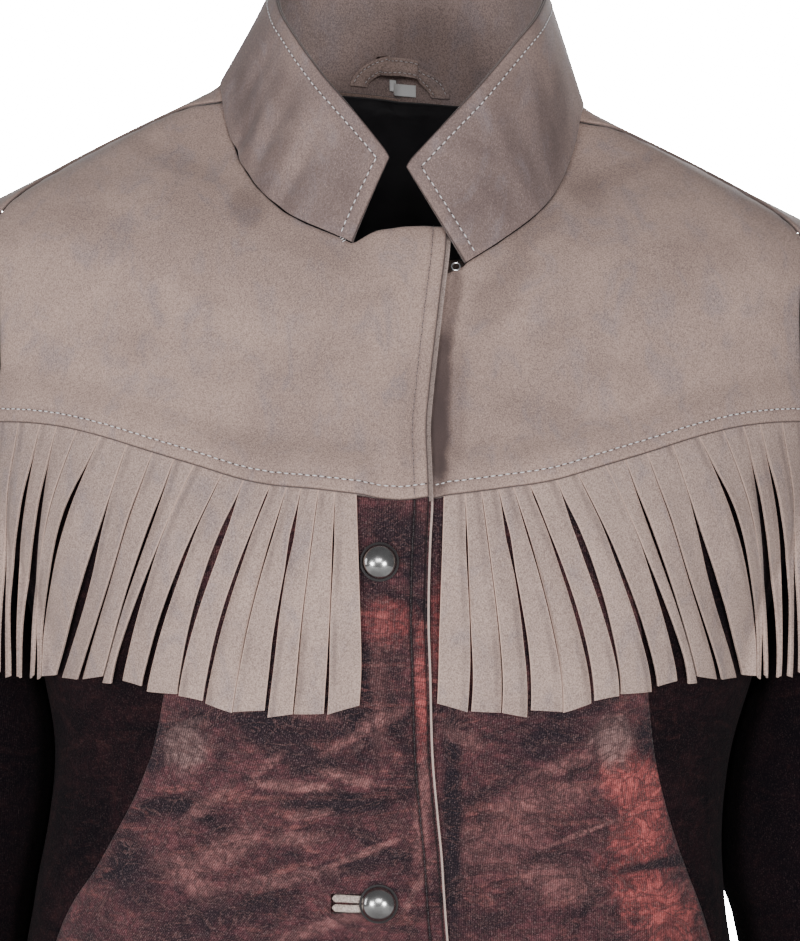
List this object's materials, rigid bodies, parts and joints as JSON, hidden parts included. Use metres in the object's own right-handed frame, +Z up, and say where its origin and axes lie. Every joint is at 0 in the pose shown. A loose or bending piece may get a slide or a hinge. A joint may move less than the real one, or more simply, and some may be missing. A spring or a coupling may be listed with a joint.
{
  "type": "fringed suede jacket",
  "caption": "Waist-length fringed jacket with a stand-up collar, suede yokes over dyed leather and domed metal buttons, held in the shape it takes when worn",
  "frame": {"origin": "middle of the neck opening, level with the points where the collar meets the shoulders: the mount wearer_shoulders, where the wearer's shoulders hold the jacket up", "axes": "+Z up and the longest way, the front faces -Y and the Y way is the shallowest, the wearer's left is at +X"},
  "size_m": [0.554, 0.2466, 0.6868],
  "materials": {
    "taupe_suede": "napped suede, matt",
    "trim_suede": "napped suede strip, matt",
    "dyed_leather": "matt suede, unevenly dyed dark red and black",
    "black_satin": "woven satin lining",
    "label_cloth": "plain woven tape, blank",
    "bright_metal": "polished"
  },
  "bodies": {
    "root": {"yoke_right": "taupe_suede", "yoke_left": "taupe_suede", "back_yoke": "taupe_suede", "collar_outer": "taupe_suede", "collar_inner": "taupe_suede", "hanger_loop": "taupe_suede", "fringe_right": "taupe_suede", "fringe_left": "taupe_suede", "buttonhole_2_upper_lip": "trim_suede", "buttonhole_2_lower_lip": "trim_suede", "buttonhole_3_upper_lip": "trim_suede", "buttonhole_3_lower_lip": "trim_suede", "front_right": "dyed_leather", "front_left": "dyed_leather", "side_right": "dyed_leather", "side_left": "dyed_leather", "back_body": "dyed_leather", "sleeve_right": "dyed_leather", "sleeve_left": "dyed_leather", "facing_right": "dyed_leather", "lining_back": "black_satin", "size_label": "label_cloth", "button_1": "bright_metal", "button_2": "bright_metal", "button_3": "bright_metal", "neck_eye": "bright_metal"}
  },
  "joints": []
}
